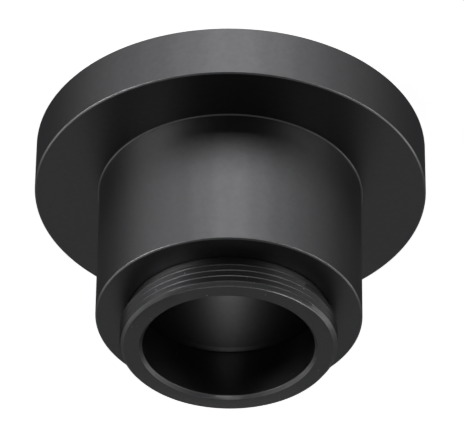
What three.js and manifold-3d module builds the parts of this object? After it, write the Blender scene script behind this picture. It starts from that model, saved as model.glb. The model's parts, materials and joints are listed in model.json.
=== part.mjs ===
// A laser collimator for a telescope: a flanged, black anodised housing with a male C-mount nose.
// Millimetres, +Z up towards the nose, origin at the centre of the flange's rear face.
// The beam leaves along +Z through the open bore of the nose.

import * as THREE from "three";
import { mergeVertices } from "three/addons/utils/BufferGeometryUtils.js";
import Module from "manifold-3d";

const wasm = await Module();
wasm.setup();

// Housing
const FLANGE_RADIUS = 23.3;
const FLANGE_THICKNESS = 6.7;
const BARREL_RADIUS = 15.6;
const SHOULDER_Z = 24.7;
const NOSE_END_Z = 29.0;
const EDGE_CHAMFER = 0.3;
const HUB_RADIUS = 17.3;
const HUB_Z = 3.6;
const CAVITY_RADIUS = 20.2;
const CAVITY_TOP_Z = 5.0;
const TUBE_BORE_RADIUS = 13.5;
const LEDGE_BOTTOM_Z = 11.4;
const LEDGE_TOP_Z = 12.8;
const LEDGE_RADIUS = 7.0;
const CHAMBER_RADIUS = 11.2;

// Nose: a 1 inch, 32 threads per inch C-mount thread, drawn as rings
const THREAD_RADIUS = 12.7;
const THREAD_PITCH = 25.4 / 32;
const THREAD_ROOT_RADIUS = 12.21;
const THREAD_CRESTS = 4;
const NECK_RADIUS = 12.0;
const NOSE_SEAT_Z = 21.66;
const MOUTH_RADIUS = 10.05;
const BORE_END_RADIUS = 11.04;
const MOUTH_CHAMFER = 0.37;
const THREAD_FLAT = 0.1;
const SEAT_INNER_RADIUS = THREAD_RADIUS + 0.3;

// Rear cover and its screws
const COVER_RADIUS = 21.35;
const COVER_THICKNESS = 2.4;
const COVER_SEAT_Z = 2.45;
const COVER_BOSS_RADIUS = 10.1;
const COVER_BOSS_TOP_Z = 4.2;
const COVER_SCREW_CIRCLE = 18.75;
const COVER_SCREW_COUNT = 4;
const COVER_SCREW_RADIUS = 0.95;
const COVER_SCREW_TIP_Z = 4.6;
const SCREW_BOSS_RADIUS = 1.6;
const SCREW_SOCKET_RADIUS = 0.75;

// Battery, and the screwed cap that holds it in
const BATTERY_RADIUS = 8.0;
const BATTERY_BOTTOM_Z = 2.9;
const BATTERY_TOP_Z = 6.1;
const CAP_HEAD_RADIUS = 9.6;
const CAP_NECK_RADIUS = 8.7;
const CAP_BOTTOM_Z = 0.25;
const CAP_HEAD_TOP_Z = 1.2;
const CAP_SEAT_Z = 1.8;
const CAP_NECK_TOP_Z = 2.8;
const HOLDER_OUTER_RADIUS = 13.3;
const HOLDER_RIM_Z = 4.9;
const HOLDER_TOP_Z = 7.0;

// Three-point support of the laser cell
const SUPPORT_CIRCLE = 12.0;
const SUPPORT_ANGLES = [210, 330, 90];
const ADJUSTER_RADIUS = 1.25;
const ADJUSTER_BOTTOM_Z = 0.8;
const ADJUSTER_TOP_Z = 6.7;
const PAD_RADIUS = 0.85;
const CELL_BOTTOM_Z = 8.3;
const CELL_FLANGE_RADIUS = 13.2;
const CELL_TUBE_RADIUS = 6.4;
const CELL_TOP_Z = 16.4;

// Circuit board, slide switch and leads
const BOARD_BOTTOM_Z = 2.7;
const BOARD_TOP_Z = 3.5;
const BOARD_INNER_RADIUS = 10.3;
const BOARD_OUTER_RADIUS = 20;
const SWITCH_Y = 19.1;
const SWITCH_TRAVEL = 2.0;
const SWITCH_SLOT_LENGTH = SWITCH_TRAVEL + 2.2;
const SWITCH_SLOT_WIDTH = 1.9;
const LEAD_X = 11.6;
const LEAD_RADIUS = 0.28;

const HOUSING_SEGMENTS = 48;
const INNER_SEGMENTS = 32;
const SMALL_SEGMENTS = 16;
const RUNNING_GAP = 0.1;
const CLOSE_GAP = 0.05;
const OVERRUN = 0.5;

const FINISHES = {
  anodised: { color: 0x1b1b1e, roughness: 0.42, metalness: 0.7 },
  steel: { color: 0xb4b6ba, roughness: 0.3, metalness: 1 },
  brass: { color: 0xc2a052, roughness: 0.3, metalness: 1 },
  bronze: { color: 0xb9824e, roughness: 0.35, metalness: 1 },
  blackPlastic: { color: 0x151517, roughness: 0.6, metalness: 0 },
  whitePlastic: { color: 0xd9d8d2, roughness: 0.5, metalness: 0 },
  board: { color: 0x1c5a38, roughness: 0.5, metalness: 0 },
  rubber: { color: 0x101010, roughness: 0.85, metalness: 0 },
  glass: { color: 0xdfe8ee, roughness: 0.05, metalness: 0 },
  redLead: { color: 0xb3231c, roughness: 0.5, metalness: 0 },
  blackLead: { color: 0x121212, roughness: 0.5, metalness: 0 },
};

const collimator = new THREE.Group();

function piece(name, geometry, finish, parent = collimator) {
  const material = new THREE.MeshStandardMaterial(FINISHES[finish]);
  const mesh = new THREE.Mesh(geometry, material);
  mesh.name = name;
  parent.add(mesh);
  return mesh;
}

// An upright group at this angle round the axis and this distance from it.
function stationAt(angleDegrees, radius) {
  const station = new THREE.Group();
  const angle = THREE.MathUtils.degToRad(angleDegrees);
  station.position.set(radius * Math.cos(angle), radius * Math.sin(angle), 0);
  collimator.add(station);
  return station;
}

function pointAt(angleDegrees, radius) {
  const angle = THREE.MathUtils.degToRad(angleDegrees);
  return [radius * Math.cos(angle), radius * Math.sin(angle)];
}

// A solid turned about Z from a list of [radius, z] points. The outline is put in the order that
// makes its faces point outwards, and one that doesn't start and end on the axis closes on itself.
function turned(outline, segments = SMALL_SEGMENTS) {
  const points = outline.map(([radius, z]) => new THREE.Vector2(radius, z));
  if (THREE.ShapeUtils.area(points) < 0) points.reverse();
  const openOnAxis = points.findIndex((p, i) => p.x === 0 && points.at(i - 1).x === 0);
  if (openOnAxis >= 0) points.push(...points.splice(0, openOnAxis));
  else points.push(points[0].clone());
  return new THREE.LatheGeometry(points, segments).rotateX(Math.PI / 2);
}

function cylinder(radius, bottomZ, topZ, x = 0, y = 0, segments = SMALL_SEGMENTS) {
  const outline = [[0, bottomZ], [radius, bottomZ], [radius, topZ], [0, topZ]];
  return turned(outline, segments).translate(x, y, 0);
}

function block(width, depth, bottomZ, topZ, x = 0, y = 0) {
  return new THREE.BoxGeometry(width, depth, topZ - bottomZ).translate(x, y, (bottomZ + topZ) / 2);
}

function oRing(meanRadius, sectionRadius, z) {
  return new THREE.TorusGeometry(meanRadius, sectionRadius, 6, INNER_SEGMENTS).translate(0, 0, z);
}

// A round wire along a curve.
function wire(curve, wireRadius, steps) {
  const section = new THREE.Shape().absarc(0, 0, wireRadius, 0, 2 * Math.PI);
  return new THREE.ExtrudeGeometry(section, { steps, curveSegments: 3, extrudePath: curve });
}

// A coil spring whose radius runs evenly from the bottom turn to the top turn.
class CoilCurve extends THREE.Curve {
  constructor(bottomRadius, topRadius, bottomZ, topZ, turns) {
    super();
    Object.assign(this, { bottomRadius, topRadius, bottomZ, topZ, turns });
  }

  getPoint(t, target = new THREE.Vector3()) {
    const angle = 2 * Math.PI * this.turns * t;
    const radius = THREE.MathUtils.lerp(this.bottomRadius, this.topRadius, t);
    const z = THREE.MathUtils.lerp(this.bottomZ, this.topZ, t);
    return target.set(radius * Math.cos(angle), radius * Math.sin(angle), z);
  }
}

function solidOf(geometry) {
  const bare = geometry.index ? geometry.toNonIndexed() : geometry.clone();
  bare.deleteAttribute("normal");
  bare.deleteAttribute("uv");
  const merged = mergeVertices(bare, 1e-4);
  const mesh = new wasm.Mesh({
    numProp: 3,
    vertProperties: merged.attributes.position.array,
    triVerts: new Uint32Array(merged.index.array),
  });
  return new wasm.Manifold(mesh);
}

// One geometry joined with others, then cut by the rest.
function combined(base, joined, cuts) {
  let solid = solidOf(base);
  for (const geometry of joined) solid = solid.add(solidOf(geometry));
  for (const geometry of cuts) solid = solid.subtract(solidOf(geometry));
  const mesh = solid.getMesh();
  const geometry = new THREE.BufferGeometry();
  geometry.setAttribute("position", new THREE.BufferAttribute(mesh.vertProperties, 3));
  geometry.setIndex(new THREE.BufferAttribute(mesh.triVerts, 1));
  geometry.computeVertexNormals();
  return geometry;
}

const coverScrewAngles = Array.from(
  { length: COVER_SCREW_COUNT },
  (_, i) => 45 + (360 / COVER_SCREW_COUNT) * i,
);
const coverScrewPoints = coverScrewAngles.map((angle) => pointAt(angle, COVER_SCREW_CIRCLE));
const supportPoints = SUPPORT_ANGLES.map((angle) => pointAt(angle, SUPPORT_CIRCLE));

// ---- Housing ----

function flangeBody() {
  const rimInner = COVER_RADIUS + 0.15;
  const ring = turned(
    [
      [rimInner, 0],
      [FLANGE_RADIUS - EDGE_CHAMFER, 0],
      [FLANGE_RADIUS, EDGE_CHAMFER],
      [FLANGE_RADIUS, FLANGE_THICKNESS - EDGE_CHAMFER],
      [FLANGE_RADIUS - EDGE_CHAMFER, FLANGE_THICKNESS],
      [BARREL_RADIUS + 0.3, FLANGE_THICKNESS],
      [BARREL_RADIUS + RUNNING_GAP, FLANGE_THICKNESS - 0.2],
      [BARREL_RADIUS + RUNNING_GAP, HUB_Z],
      [HUB_RADIUS, HUB_Z],
      [HUB_RADIUS, CAVITY_TOP_Z],
      [CAVITY_RADIUS, CAVITY_TOP_Z],
      [CAVITY_RADIUS, COVER_SEAT_Z],
      [rimInner, COVER_SEAT_Z],
    ],
    HOUSING_SEGMENTS,
  );
  const bosses = coverScrewPoints.map(([x, y]) =>
    cylinder(SCREW_BOSS_RADIUS, COVER_SEAT_Z, CAVITY_TOP_Z + 0.2, x, y),
  );
  const screwHoles = coverScrewPoints.map(([x, y]) =>
    cylinder(COVER_SCREW_RADIUS + CLOSE_GAP, COVER_THICKNESS - OVERRUN, CAVITY_TOP_Z - 0.1, x, y),
  );
  const switchPocket = block(7.4, 3.5, COVER_THICKNESS - OVERRUN, CAVITY_TOP_Z, 0, SWITCH_Y);
  return combined(ring, bosses, [...screwHoles, switchPocket]);
}

// The shoulder's flat face has a ring of its own outside the thread, where a C-mount port seats.
function barrelTube() {
  const noseBore = NECK_RADIUS + RUNNING_GAP;
  const lipRadius = LEDGE_RADIUS + 0.9;
  const lipZ = LEDGE_BOTTOM_Z + 0.5;
  return turned(
    [
      [BARREL_RADIUS, HUB_Z],
      [BARREL_RADIUS, SHOULDER_Z - EDGE_CHAMFER],
      [BARREL_RADIUS - EDGE_CHAMFER, SHOULDER_Z],
      [SEAT_INNER_RADIUS, SHOULDER_Z],
      [noseBore, SHOULDER_Z],
      [noseBore, NOSE_SEAT_Z],
      [CHAMBER_RADIUS + 0.4, NOSE_SEAT_Z],
      [CHAMBER_RADIUS, NOSE_SEAT_Z - 0.8],
      [CHAMBER_RADIUS, LEDGE_TOP_Z],
      [lipRadius, LEDGE_TOP_Z],
      [lipRadius, lipZ],
      [LEDGE_RADIUS, lipZ],
      [LEDGE_RADIUS, LEDGE_BOTTOM_Z],
      [TUBE_BORE_RADIUS, LEDGE_BOTTOM_Z],
      [TUBE_BORE_RADIUS, HUB_Z],
    ],
    HOUSING_SEGMENTS,
  );
}

function noseRing() {
  const firstCrestZ = NOSE_END_Z - 0.38;
  const halfFlat = THREAD_FLAT / 2;
  const thread = [];
  for (let i = 0; i < THREAD_CRESTS; i++) {
    const crestZ = firstCrestZ - i * THREAD_PITCH;
    thread.push([THREAD_RADIUS, crestZ + halfFlat], [THREAD_RADIUS, crestZ - halfFlat]);
    if (i === THREAD_CRESTS - 1) break;
    const rootZ = crestZ - THREAD_PITCH / 2;
    thread.push([THREAD_ROOT_RADIUS, rootZ + halfFlat], [THREAD_ROOT_RADIUS, rootZ - halfFlat]);
  }
  const lastCrestZ = firstCrestZ - (THREAD_CRESTS - 1) * THREAD_PITCH;
  return turned(
    [
      [NECK_RADIUS + 0.25, NOSE_END_Z],
      ...thread,
      [NECK_RADIUS, lastCrestZ - 0.4],
      [NECK_RADIUS, NOSE_SEAT_Z + RUNNING_GAP],
      [BORE_END_RADIUS, NOSE_SEAT_Z + RUNNING_GAP],
      [MOUTH_RADIUS, NOSE_END_Z - MOUTH_CHAMFER],
      [MOUTH_RADIUS + MOUTH_CHAMFER, NOSE_END_Z],
    ],
    HOUSING_SEGMENTS,
  );
}

piece("flange_body", flangeBody(), "anodised");
piece("barrel_tube", barrelTube(), "anodised");
piece("nose_ring", noseRing(), "anodised");

// ---- Rear cover ----

function rearCover() {
  const plate = turned(
    [
      [0, 0],
      [COVER_RADIUS - 0.2, 0],
      [COVER_RADIUS, 0.2],
      [COVER_RADIUS, COVER_THICKNESS],
      [COVER_BOSS_RADIUS, COVER_THICKNESS],
      [COVER_BOSS_RADIUS, COVER_BOSS_TOP_Z],
      [0, COVER_BOSS_TOP_Z],
    ],
    HOUSING_SEGMENTS,
  );
  const aboveCover = COVER_THICKNESS + OVERRUN;
  const countersink = [
    [0, -OVERRUN],
    [COVER_SCREW_RADIUS + 1.2 + OVERRUN, -OVERRUN],
    [COVER_SCREW_RADIUS, 1.2],
    [0, 1.2],
  ];
  const cuts = [
    cylinder(CAP_HEAD_RADIUS + 0.15, -OVERRUN, CAP_SEAT_Z, 0, 0, HOUSING_SEGMENTS),
    cylinder(CAP_NECK_RADIUS + RUNNING_GAP, 0, COVER_BOSS_TOP_Z + OVERRUN, 0, 0, HOUSING_SEGMENTS),
    block(SWITCH_SLOT_LENGTH, SWITCH_SLOT_WIDTH, -OVERRUN, aboveCover, 0, SWITCH_Y),
  ];
  for (const [x, y] of supportPoints)
    cuts.push(cylinder(ADJUSTER_RADIUS + CLOSE_GAP, -OVERRUN, aboveCover, x, y));
  for (const [x, y] of coverScrewPoints) {
    cuts.push(cylinder(COVER_SCREW_RADIUS + 0.15, 0, aboveCover, x, y));
    cuts.push(turned(countersink).translate(x, y, 0));
  }
  return combined(plate, [], cuts);
}

// A flat-head screw with a hexagon socket, just below the cover's face.
function coverScrew() {
  const headRadius = 1.75;
  const headZ = 0.2;
  const outline = [
    [0, headZ],
    [headRadius, headZ],
    [headRadius, headZ + 0.1],
    [COVER_SCREW_RADIUS, 1.05],
    [COVER_SCREW_RADIUS, COVER_SCREW_TIP_Z],
    [0, COVER_SCREW_TIP_Z],
  ];
  const socket = cylinder(SCREW_SOCKET_RADIUS, 0, headZ + 0.6, 0, 0, 6);
  return combined(turned(outline), [], [socket]);
}

piece("rear_cover", rearCover(), "anodised");
coverScrewPoints.forEach(([x, y], i) => {
  piece(`cover_screw_${i + 1}`, coverScrew(), "steel").position.set(x, y, 0);
});

// ---- Battery and its cap ----

function batteryCap() {
  const cupRadius = 7.6;
  const cupFloorZ = 1.7;
  const slotLength = 14;
  const slotWidth = 1.6;
  const slotDepth = 0.7;
  const outline = [
    [0, CAP_BOTTOM_Z],
    [CAP_HEAD_RADIUS - 0.2, CAP_BOTTOM_Z],
    [CAP_HEAD_RADIUS, CAP_BOTTOM_Z + 0.2],
    [CAP_HEAD_RADIUS, CAP_HEAD_TOP_Z],
    [CAP_NECK_RADIUS, CAP_HEAD_TOP_Z],
    [CAP_NECK_RADIUS, CAP_NECK_TOP_Z],
    [cupRadius, CAP_NECK_TOP_Z],
    [cupRadius, cupFloorZ],
    [0, cupFloorZ],
  ];
  const coinSlot = block(slotLength, slotWidth, CAP_BOTTOM_Z - OVERRUN, CAP_BOTTOM_Z + slotDepth);
  return combined(turned(outline, HOUSING_SEGMENTS), [], [coinSlot]);
}

function coinCell() {
  return turned(
    [
      [0, BATTERY_BOTTOM_Z],
      [BATTERY_RADIUS - 0.3, BATTERY_BOTTOM_Z],
      [BATTERY_RADIUS, BATTERY_BOTTOM_Z + 0.3],
      [BATTERY_RADIUS, BATTERY_TOP_Z - 0.4],
      [BATTERY_RADIUS - 0.8, BATTERY_TOP_Z - 0.3],
      [BATTERY_RADIUS - 1.0, BATTERY_TOP_Z],
      [0, BATTERY_TOP_Z],
    ],
    INNER_SEGMENTS,
  );
}

// A cup over the cell, on a rim that is notched for the three screws and the two leads.
function batteryHolder() {
  const rimInner = COVER_BOSS_RADIUS + 0.15;
  const rimBottomZ = COVER_BOSS_TOP_Z + RUNNING_GAP;
  const cupInner = BATTERY_RADIUS + 0.2;
  const cupOuter = 9.8;
  const windowRadius = 1.5;
  const ceilingZ = HOLDER_TOP_Z - 0.4;
  const cup = turned(
    [
      [rimInner, HUB_Z],
      [HOLDER_OUTER_RADIUS, HUB_Z],
      [HOLDER_OUTER_RADIUS, HOLDER_RIM_Z],
      [cupOuter, HOLDER_RIM_Z],
      [cupOuter, HOLDER_TOP_Z],
      [windowRadius, HOLDER_TOP_Z],
      [windowRadius, ceilingZ],
      [cupInner, ceilingZ],
      [cupInner, rimBottomZ],
      [rimInner, rimBottomZ],
    ],
    HOUSING_SEGMENTS,
  );
  const notchBottomZ = HUB_Z - OVERRUN;
  const notchTopZ = HOLDER_RIM_Z + OVERRUN;
  const screwCuts = supportPoints.map(([x, y]) => cylinder(1.8, notchBottomZ, notchTopZ, x, y));
  const leadCuts = [LEAD_X, -LEAD_X].map((x) => cylinder(0.8, notchBottomZ, notchTopZ, x, 0, 12));
  return combined(cup, [], [...screwCuts, ...leadCuts]);
}

// A shallow arched leaf: its middle presses on the cell, its ends on the holder.
function negativeContact() {
  const halfLength = 6.5;
  const endZ = 6.33;
  const sag = 0.36;
  const thickness = 0.2;
  const width = 3;
  const arch = new THREE.Shape();
  arch.moveTo(-halfLength, endZ);
  arch.quadraticCurveTo(0, endZ - sag, halfLength, endZ);
  arch.lineTo(halfLength, endZ + thickness);
  arch.quadraticCurveTo(0, endZ + thickness - sag, -halfLength, endZ + thickness);
  arch.closePath();
  const leaf = new THREE.ExtrudeGeometry(arch, { depth: width, bevelEnabled: false, curveSegments: 8 });
  return leaf.rotateX(Math.PI / 2).translate(0, width / 2, 0);
}

piece("battery_cap", batteryCap(), "anodised");
piece("battery_cap_o_ring", oRing(9.2, 0.25, 1.5), "rubber");
piece("battery_spring", wire(new CoilCurve(6.2, 3.2, 2.0, 2.6, 2.5), 0.18, 36), "bronze");
piece("coin_cell", coinCell(), "steel");
piece("battery_holder", batteryHolder(), "whitePlastic");
piece("negative_contact", negativeContact(), "bronze");

// ---- Circuit board and switch ----

function circuitBoard() {
  const ring = turned(
    [
      [BOARD_INNER_RADIUS, BOARD_BOTTOM_Z],
      [BOARD_OUTER_RADIUS, BOARD_BOTTOM_Z],
      [BOARD_OUTER_RADIUS, BOARD_TOP_Z],
      [BOARD_INNER_RADIUS, BOARD_TOP_Z],
    ],
    HOUSING_SEGMENTS,
  );
  const belowBoard = BOARD_BOTTOM_Z - OVERRUN;
  const aboveBoard = BOARD_TOP_Z + OVERRUN;
  const screwClearance = SCREW_BOSS_RADIUS + 0.3;
  const cuts = [...supportPoints, ...coverScrewPoints].map(([x, y]) =>
    cylinder(screwClearance, belowBoard, aboveBoard, x, y),
  );
  cuts.push(block(SWITCH_SLOT_LENGTH, SWITCH_SLOT_WIDTH, belowBoard, aboveBoard, 0, SWITCH_Y));
  return combined(ring, [], cuts);
}

piece("circuit_board", circuitBoard(), "board");
const switchBottomZ = BOARD_TOP_Z + RUNNING_GAP;
piece("switch_body", block(6.8, 2.8, switchBottomZ, 4.9, 0, SWITCH_Y), "steel");
const switchKnob = piece("switch_knob", block(1.6, 1.4, 0.3, BOARD_TOP_Z), "blackPlastic");
switchKnob.position.set(-SWITCH_TRAVEL / 2, SWITCH_Y, 0);

// ---- Three-point support ----

function setScrew() {
  const outline = [
    [0, ADJUSTER_BOTTOM_Z],
    [ADJUSTER_RADIUS - 0.25, ADJUSTER_BOTTOM_Z],
    [ADJUSTER_RADIUS, ADJUSTER_BOTTOM_Z + 0.25],
    [ADJUSTER_RADIUS, ADJUSTER_TOP_Z - 0.2],
    [ADJUSTER_RADIUS - 0.2, ADJUSTER_TOP_Z],
    [0, ADJUSTER_TOP_Z],
  ];
  const socket = cylinder(SCREW_SOCKET_RADIUS, 0, ADJUSTER_BOTTOM_Z + 1.2, 0, 0, 6);
  return combined(turned(outline), [], [socket]);
}

// A domed pad that stays still on the cell while its screw turns under it.
function swivelPad() {
  const bottomZ = ADJUSTER_TOP_Z + CLOSE_GAP;
  const topZ = CELL_BOTTOM_Z - CLOSE_GAP;
  const domeSteps = 4;
  const dome = [];
  for (let i = 0; i <= domeSteps; i++) {
    const angle = (Math.PI / 2) * (i / domeSteps);
    const radius = i === domeSteps ? 0 : PAD_RADIUS * Math.cos(angle);
    dome.push([radius, topZ - PAD_RADIUS + PAD_RADIUS * Math.sin(angle)]);
  }
  return turned([[0, bottomZ], [PAD_RADIUS, bottomZ], ...dome]);
}

// The third screw reaches the cell by itself and is locked: it is the fixed point of the support.
function referenceScrew() {
  const shank = setScrew();
  const rootZ = ADJUSTER_TOP_Z - RUNNING_GAP;
  const tip = turned([
    [0, rootZ],
    [PAD_RADIUS, rootZ],
    [PAD_RADIUS, CELL_BOTTOM_Z - 0.7],
    [0.4, CELL_BOTTOM_Z - 0.15],
    [0, CELL_BOTTOM_Z - CLOSE_GAP],
  ]);
  return combined(shank, [tip], []);
}

SUPPORT_ANGLES.forEach((angle, i) => {
  const station = stationAt(angle, SUPPORT_CIRCLE);
  if (i === SUPPORT_ANGLES.length - 1) {
    piece("reference_screw", referenceScrew(), "steel", station);
  } else {
    piece(`adjusting_screw_${i + 1}`, setScrew(), "steel", station);
    piece(`screw_pad_${i + 1}`, swivelPad(), "brass", station);
  }
});

// ---- Laser cell and module ----

const MODULE_BOTTOM_Z = 8.5;
const MODULE_TOP_Z = 15.2;
const MODULE_RADIUS = 4.5;
const MODULE_BOARD_TOP_Z = 9.5;
const DIODE_RADIUS = 2.8;
const DIODE_BOTTOM_Z = 10.5;
const LENS_RADIUS = 2.55;
const CLAMP_SCREW_Z = 14.0;
const APERTURE_RADIUS = 5.6;
const APERTURE_BOTTOM_Z = 15.5;

function laserCell() {
  const flangeTopZ = CELL_BOTTOM_Z + 1.6;
  const moduleBore = MODULE_RADIUS + RUNNING_GAP;
  const stopSeatRadius = APERTURE_RADIUS + 0.15;
  const stopSeatZ = APERTURE_BOTTOM_Z - RUNNING_GAP;
  const holder = turned(
    [
      [moduleBore, CELL_BOTTOM_Z],
      [CELL_FLANGE_RADIUS, CELL_BOTTOM_Z],
      [CELL_FLANGE_RADIUS, flangeTopZ],
      [CELL_TUBE_RADIUS, flangeTopZ],
      [CELL_TUBE_RADIUS, CELL_TOP_Z - EDGE_CHAMFER],
      [CELL_TUBE_RADIUS - EDGE_CHAMFER, CELL_TOP_Z],
      [stopSeatRadius, CELL_TOP_Z],
      [stopSeatRadius, stopSeatZ],
      [moduleBore, stopSeatZ],
    ],
    INNER_SEGMENTS,
  );
  const clampHole = cylinder(0.8, 4, 7).rotateX(-Math.PI / 2).translate(0, 0, CLAMP_SCREW_Z);
  return combined(holder, [], [clampHole]);
}

function moduleBarrel() {
  return turned(
    [
      [3.6, MODULE_BOTTOM_Z],
      [MODULE_RADIUS, MODULE_BOTTOM_Z],
      [MODULE_RADIUS, MODULE_TOP_Z],
      [3.4, MODULE_TOP_Z],
      [3.4, 12.3],
      [2.4, 12.3],
      [2.4, DIODE_BOTTOM_Z + 1.1],
      [DIODE_RADIUS + RUNNING_GAP, DIODE_BOTTOM_Z + 1.1],
      [DIODE_RADIUS + RUNNING_GAP, DIODE_BOTTOM_Z - RUNNING_GAP],
      [3.6, DIODE_BOTTOM_Z - RUNNING_GAP],
    ],
    INNER_SEGMENTS,
  );
}

// A round base, a can on it, and three legs down to the module board.
function laserDiode() {
  const canRadius = 1.75;
  const baseTopZ = DIODE_BOTTOM_Z + 1.0;
  const canTopZ = DIODE_BOTTOM_Z + 2.7;
  const can = turned([
    [0, DIODE_BOTTOM_Z],
    [DIODE_RADIUS, DIODE_BOTTOM_Z],
    [DIODE_RADIUS, baseTopZ],
    [canRadius, baseTopZ],
    [canRadius, canTopZ],
    [0, canTopZ],
  ]);
  const legs = [90, 210, 330].map((angle) => {
    const [x, y] = pointAt(angle, 1.3);
    return cylinder(0.22, MODULE_BOARD_TOP_Z + CLOSE_GAP, DIODE_BOTTOM_Z + 0.1, x, y, 8);
  });
  return combined(can, legs, []);
}

// Flat towards the diode, domed towards the beam's exit.
function collimatingLens() {
  const bottomZ = 14.25;
  const edgeZ = 14.55;
  const crownHeight = 0.75;
  const crownSteps = 5;
  const front = [];
  for (let i = 0; i <= crownSteps; i++) {
    const share = 1 - i / crownSteps;
    front.push([LENS_RADIUS * share, edgeZ + crownHeight * (1 - share * share)]);
  }
  return turned([[0, bottomZ], [LENS_RADIUS, bottomZ], ...front]);
}

// A shouldered ring that the lens rests in.
function lensHolder() {
  const outerRadius = 3.3;
  const innerRadius = 1.9;
  const seatRadius = LENS_RADIUS + RUNNING_GAP;
  const bottomZ = 13.8;
  const seatZ = 14.2;
  const topZ = MODULE_TOP_Z - 0.1;
  return turned(
    [
      [innerRadius, bottomZ],
      [outerRadius, bottomZ],
      [outerRadius, topZ],
      [seatRadius, topZ],
      [seatRadius, seatZ],
      [innerRadius, seatZ],
    ],
    INNER_SEGMENTS,
  );
}

// A disc with a small countersunk hole that trims the beam.
function apertureStop() {
  const holeRadius = 0.75;
  const topZ = APERTURE_BOTTOM_Z + 0.75;
  return turned(
    [
      [holeRadius, APERTURE_BOTTOM_Z],
      [APERTURE_RADIUS, APERTURE_BOTTOM_Z],
      [APERTURE_RADIUS, topZ],
      [2.5, topZ],
      [holeRadius, APERTURE_BOTTOM_Z + 0.3],
    ],
    INNER_SEGMENTS,
  );
}

piece("laser_cell", laserCell(), "anodised");
piece("return_o_ring", oRing(10.2, 0.68, 10.65), "rubber");
piece("centring_o_ring", oRing(7.2, 0.4, 12.6), "rubber");
piece("module_barrel", moduleBarrel(), "brass");
piece("laser_diode", laserDiode(), "steel");
piece("focus_spring", wire(new CoilCurve(2.9, 2.9, 12.6, 13.5, 3), 0.18, 36), "steel");
piece("lens_holder", lensHolder(), "brass");
piece("collimating_lens", collimatingLens(), "glass");
piece("module_board", cylinder(3.45, MODULE_BOARD_TOP_Z - 0.6, MODULE_BOARD_TOP_Z), "board");
piece("driver_chip", block(1.5, 1.1, MODULE_BOARD_TOP_Z + CLOSE_GAP, 10.1), "blackPlastic");
piece("aperture_stop", apertureStop(), "anodised");
piece("module_clamp_screw", cylinder(0.72, 4.65, 6.25), "steel")
  .rotateX(-Math.PI / 2)
  .position.set(0, 0, CLAMP_SCREW_Z);

// ---- Leads: up beside the battery holder, then inwards under the cell to the module board ----

function lead(side) {
  const route = [
    [LEAD_X, BOARD_TOP_Z + 0.2],
    [LEAD_X, 5.2],
    [11.4, 6.6],
    [10.5, 7.4],
    [8.5, 7.45],
    [5.0, 7.45],
    [3.0, 7.6],
    [2.2, 8.3],
    [2.2, 8.7],
  ];
  const points = route.map(([x, z]) => new THREE.Vector3(side * x, 0, z));
  return wire(new THREE.CatmullRomCurve3(points), LEAD_RADIUS, 16);
}

piece("positive_lead", lead(1), "redLead");
piece("negative_lead", lead(-1), "blackLead");

export default collimator;
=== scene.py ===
"""Looks of the laser collimator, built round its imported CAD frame. Lengths in outlines are millimetres."""
import json
import math

import bmesh
import bpy
from mathutils import Matrix, Vector


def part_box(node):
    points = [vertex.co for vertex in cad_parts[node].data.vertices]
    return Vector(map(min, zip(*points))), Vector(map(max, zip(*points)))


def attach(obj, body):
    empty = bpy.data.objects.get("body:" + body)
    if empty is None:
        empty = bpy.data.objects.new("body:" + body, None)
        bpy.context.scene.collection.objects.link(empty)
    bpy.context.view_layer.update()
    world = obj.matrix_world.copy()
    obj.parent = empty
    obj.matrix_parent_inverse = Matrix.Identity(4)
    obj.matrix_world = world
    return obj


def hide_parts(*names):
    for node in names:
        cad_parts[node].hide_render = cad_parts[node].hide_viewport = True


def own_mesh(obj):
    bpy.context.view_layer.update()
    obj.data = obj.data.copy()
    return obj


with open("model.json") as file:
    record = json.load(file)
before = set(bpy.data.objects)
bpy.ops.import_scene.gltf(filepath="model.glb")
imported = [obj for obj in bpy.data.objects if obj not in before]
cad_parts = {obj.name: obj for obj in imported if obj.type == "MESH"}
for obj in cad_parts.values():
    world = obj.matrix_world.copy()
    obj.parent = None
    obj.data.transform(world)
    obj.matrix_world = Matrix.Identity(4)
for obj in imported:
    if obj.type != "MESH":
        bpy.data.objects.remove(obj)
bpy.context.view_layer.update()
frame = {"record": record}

MM = 0.001
RECORD = frame["record"]
BODY_OF = {n: body for body, nodes in RECORD["behaviour"]["bodies"].items() for n in nodes}

HOUSING_SEGMENTS = 288
INNER_SEGMENTS = 144
SMALL_SEGMENTS = 64
CORNER_STEPS = 4
SHARP_ANGLE = math.radians(38)
THREAD_DEPTH_SHARE = 0.6134
THREAD_START_ANGLE = -math.pi / 2
HEX_KEY = 1.3
LEAD_X = 11.6


# ---- The frame's sizes, in millimetres ----

def low(node):
    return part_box(node)[0] / MM


def high(node):
    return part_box(node)[1] / MM


def radius_of(node):
    return (high(node).x - low(node).x) / 2


def centre_of(node):
    middle = (low(node) + high(node)) / 2
    return Vector((middle.x, middle.y, 0))


def centre_height(node):
    return (low(node).z + high(node).z) / 2


# ---- Mesh tools ----

def rounded(outline, radius):
    """The closed outline with each corner off the axis turned into a small arc."""
    nearly_straight = math.radians(172)
    most_of_a_side = 0.45
    points = [Vector(p[:2]) for p in outline]
    radii = [p[2] if len(p) > 2 else radius for p in outline]
    made = []
    for i, corner in enumerate(points):
        back = points[i - 1] - corner
        ahead = points[(i + 1) % len(points)] - corner
        turn = back.angle(ahead, math.pi)
        if radii[i] <= 0 or corner.x < 1e-6 or turn > nearly_straight:
            made.append(corner)
            continue
        reach = min(radii[i] / math.tan(turn / 2), most_of_a_side * min(back.length, ahead.length))
        start = corner + back.normalized() * reach
        end = corner + ahead.normalized() * reach
        for step in range(CORNER_STEPS + 1):
            t = step / CORNER_STEPS
            made.append(start * (1 - t) ** 2 + corner * 2 * t * (1 - t) + end * t**2)
    return made


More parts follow.
